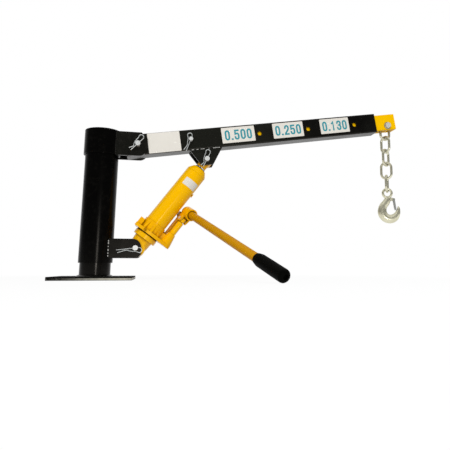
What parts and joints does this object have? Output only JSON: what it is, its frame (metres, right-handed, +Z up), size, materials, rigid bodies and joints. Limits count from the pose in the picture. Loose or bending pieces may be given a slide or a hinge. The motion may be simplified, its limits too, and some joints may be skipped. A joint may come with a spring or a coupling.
{
  "type": "hydraulic jib crane",
  "caption": "Fixed jib crane: bolt-down post, swivel sleeve, box boom with sliding extension, hand-pumped long-ram jack, chain and latched hook.",
  "frame": {"origin": "middle of the base plate's underside, on the post's axis", "axes": "+Z up along the post, +X along the boom's reach seen from above, +Y away from the side that the pump handle is on"},
  "size_m": [0.9893, 0.5455, 0.5179],
  "materials": {
    "black": "gloss black enamel",
    "yellow": "gloss yellow enamel",
    "ochre": "yellow ochre enamel",
    "zinc": "zinc plated, slightly yellow",
    "chrome": "polished hard chrome",
    "steel": "machined steel",
    "bronze": "bearing bronze",
    "rubber": "matt black rubber"
  },
  "bodies": {
    "post": {"base_plate": "black", "post_tube": "black", "post_weld": "black", "thrust_washer": "bronze"},
    "mast": {"swivel_sleeve": "black", "sleeve_cap": "black", "collar": "black", "ear_near": "black", "ear_far": "black", "foot_bracket_near": "black", "foot_bracket_far": "black", "boom_pivot_pin": "zinc", "boom_pivot_clip": "zinc", "jack_foot_pin": "zinc", "jack_foot_clip": "zinc"},
    "boom": {"boom_tube": "black", "pivot_bush": "steel", "ram_bracket_near": "black", "ram_bracket_far": "black", "ram_pin": "zinc", "ram_clip": "zinc", "lock_pin": "zinc", "lock_clip": "zinc"},
    "extension": {"extension_tube": "yellow", "tip_bolt": "zinc", "tip_nut": "zinc", "tip_washer_near": "zinc", "tip_washer_far": "zinc"},
    "jack": {"jack_foot": "yellow", "jack_base": "yellow", "reservoir_tube": "yellow", "reservoir_cap": "yellow", "wiper_seal": "rubber", "pressure_cylinder": "steel", "filler_plug": "yellow", "pump_cylinder": "yellow", "pump_link": "yellow", "link_pin": "zinc"},
    "ram": {"ram_rod": "chrome", "ram_piston": "steel", "piston_seal": "rubber", "ram_head": "yellow"},
    "plunger": {"pump_plunger": "yellow"},
    "lever": {"handle_socket": "yellow", "fulcrum_pin": "zinc", "plunger_pin": "zinc"},
    "handle": {"handle_rod": "ochre", "handle_grip": "rubber"},
    "valve": {"release_valve": "steel"},
    "link_1": {"chain_link_1": "zinc"},
    "link_2": {"chain_link_2": "zinc"},
    "link_3": {"chain_link_3": "zinc"},
    "link_4": {"chain_link_4": "zinc"},
    "link_5": {"chain_link_5": "zinc"},
    "hook": {"hook": "zinc"},
    "latch": {"hook_latch": "steel"}
  },
  "joints": [
    {"name": "mast_swivel", "type": "hinge", "parent": "post", "child": "mast", "pos_m": [0, 0, 0.2], "axis": [0, 0, 1], "continuous": true},
    {"name": "boom_lift", "type": "hinge", "parent": "mast", "child": "boom", "pos_m": [0.0949, 0, 0.3673], "axis": [0, -1, 0], "range_deg": [0, 45]},
    {"name": "jack_tilt", "type": "hinge", "parent": "mast", "child": "jack", "pos_m": [0.1017, 0, 0.0828], "axis": [0, -1, 0], "range_deg": [0, 15]},
    {"name": "ram_extend", "type": "slide", "parent": "jack", "child": "ram", "axis": [0.5878, 0, 0.809], "range_m": [0, 0.118]},
    {"name": "extension_slide", "type": "slide", "parent": "boom", "child": "extension", "axis": [0.9874, 0, 0.1583], "range_m": [0, 0.5072]},
    {"name": "lever_swing", "type": "hinge", "parent": "jack", "child": "lever", "pos_m": [0.22259, 0.0176, 0.1758], "axis": [-0.7143, -0.4695, 0.519], "range_deg": [0, 50]},
    {"name": "plunger_slide", "type": "slide", "parent": "jack", "child": "plunger", "axis": [0.5878, 0, 0.809], "range_m": [0, 0.019]},
    {"name": "handle_pull", "type": "slide", "parent": "lever", "child": "handle", "axis": [0.3304, -0.88, -0.3413], "range_m": [0, 0.03]},
    {"name": "release_valve_turn", "type": "hinge", "parent": "jack", "child": "valve", "pos_m": [0.12481, -0.04, 0.13214], "axis": [0, -1, 0], "range_deg": [0, 360]},
    {"name": "link_1_swing", "type": "hinge", "parent": "extension", "child": "link_1", "pos_m": [0.8536, 0, 0.47701], "axis": [0, -1, 0], "range_deg": [-44, 18]},
    {"name": "link_2_swing", "type": "hinge", "parent": "link_1", "child": "link_2", "pos_m": [0.8536, 0, 0.43601], "axis": [0.9962, 0.0872, 0], "range_deg": [-30, 30]},
    {"name": "link_3_swing", "type": "hinge", "parent": "link_2", "child": "link_3", "pos_m": [0.8536, 0, 0.39381], "axis": [0.4067, -0.9135, 0], "range_deg": [-30, 30]},
    {"name": "link_4_swing", "type": "hinge", "parent": "link_3", "child": "link_4", "pos_m": [0.8536, 0, 0.35161], "axis": [0.848, 0.5299, 0], "range_deg": [-30, 30]},
    {"name": "link_5_swing", "type": "hinge", "parent": "link_4", "child": "link_5", "pos_m": [0.8536, 0, 0.30941], "axis": [0.8829, -0.4695, 0], "range_deg": [-30, 30]},
    {"name": "hook_swing", "type": "hinge", "parent": "link_5", "child": "hook", "pos_m": [0.8536, 0, 0.26721], "axis": [0.5878, 0.809, 0], "range_deg": [-30, 30]},
    {"name": "latch_swing", "type": "hinge", "parent": "hook", "child": "latch", "pos_m": [0.87138, -0.00647, 0.24211], "axis": [0.342, 0.9397, 0], "range_deg": [0, 40], "stiffness_Nm_per_rad": 0.02, "springref_deg": -28.65}
  ],
  "couplings": [
    {"joint": "jack_tilt", "follows": "boom_lift", "ratio": 0.33004},
    {"joint": "ram_extend", "follows": "boom_lift", "m_per_rad": 0.14791},
    {"joint": "plunger_slide", "follows": "lever_swing", "m_per_rad": 0.02131}
  ]
}
